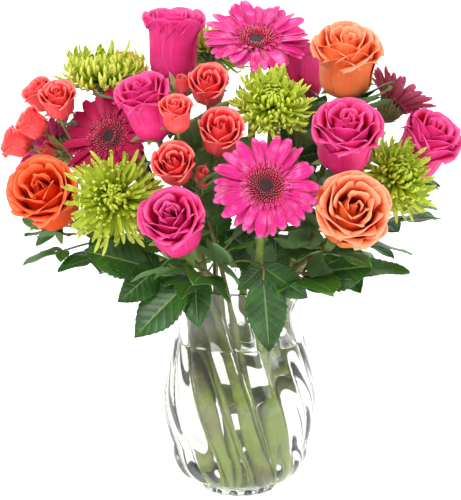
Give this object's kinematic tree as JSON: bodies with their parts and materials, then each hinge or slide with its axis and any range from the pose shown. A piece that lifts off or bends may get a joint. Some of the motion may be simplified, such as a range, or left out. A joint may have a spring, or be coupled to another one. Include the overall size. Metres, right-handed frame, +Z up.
{
  "type": "bouquet of gerberas, roses and chrysanthemums in a glass vase",
  "caption": "Mixed bouquet of gerberas, roses, spray roses and green spider chrysanthemums standing in water in a clear glass vase with swirled flutes and a flared rim.",
  "frame": {"origin": "centre of the vase's underside, on the surface it stands on", "axes": "+Z up along the vase's axis, -Y the front of the bouquet, +X to the viewer's right"},
  "size_m": [0.4185, 0.2729, 0.4503],
  "materials": {
    "glass": "clear, polished",
    "water": "clear",
    "gerbera_pink": "satin petals",
    "gerbera_magenta": "satin petals",
    "rose_pink": "velvety petals",
    "rose_orange": "velvety petals",
    "rose_coral": "velvety petals",
    "mum_green": "satin florets",
    "stem_green": "satin",
    "leaf_green": "semi-gloss"
  },
  "bodies": {
    "root": {"gerbera_front_bloom": "gerbera_pink", "gerbera_front_stem": "stem_green", "gerbera_left_back_bloom": "gerbera_pink", "gerbera_left_back_stem": "stem_green", "gerbera_left_bloom": "gerbera_magenta", "gerbera_left_stem": "stem_green", "gerbera_right_back_bloom": "gerbera_magenta", "gerbera_right_back_stem": "stem_green", "gerbera_top_bloom": "gerbera_pink", "gerbera_top_stem": "stem_green", "leaf_back": "leaf_green", "leaf_far_left": "leaf_green", "leaf_front": "leaf_green", "leaf_front_left": "leaf_green", "leaf_inner": "leaf_green", "leaf_left": "leaf_green", "leaf_right": "leaf_green", "leaf_upper_right": "leaf_green", "mum_back_bloom": "mum_green", "mum_back_stem": "stem_green", "mum_centre_bloom": "mum_green", "mum_centre_stem": "stem_green", "mum_left_bloom": "mum_green", "mum_left_stem": "stem_green", "mum_right_bloom": "mum_green", "mum_right_stem": "stem_green", "mum_top_left_bloom": "mum_green", "mum_top_left_stem": "stem_green", "rose_orange_back_bloom": "rose_orange", "rose_orange_back_stem": "stem_green", "rose_orange_left_bloom": "rose_orange", "rose_orange_left_stem": "stem_green", "rose_orange_right_bloom": "rose_orange", "rose_orange_right_stem": "stem_green", "rose_orange_top_bloom": "rose_orange", "rose_orange_top_stem": "stem_green", "rose_pink_back_bloom": "rose_pink", "rose_pink_back_stem": "stem_green", "rose_pink_far_right_bloom": "rose_pink", "rose_pink_far_right_stem": "stem_green", "rose_pink_front_bloom": "rose_pink", "rose_pink_front_stem": "stem_green", "rose_pink_left_bloom": "rose_pink", "rose_pink_left_stem": "stem_green", "rose_pink_right_bloom": "rose_pink", "rose_pink_right_stem": "stem_green", "rose_pink_top_bloom": "rose_pink", "rose_pink_top_stem": "stem_green", "spray_centre_1_bloom": "rose_coral", "spray_centre_2_bloom": "rose_coral", "spray_centre_3_bloom": "rose_coral", "spray_centre_4_bloom": "rose_coral", "spray_centre_stem": "stem_green", "spray_left_1_bloom": "rose_coral", "spray_left_2_bloom": "rose_coral", "spray_left_3_bloom": "rose_coral", "spray_left_4_bloom": "rose_coral", "spray_left_stem": "stem_green", "vase": "glass", "water": "water"}
  },
  "joints": []
}
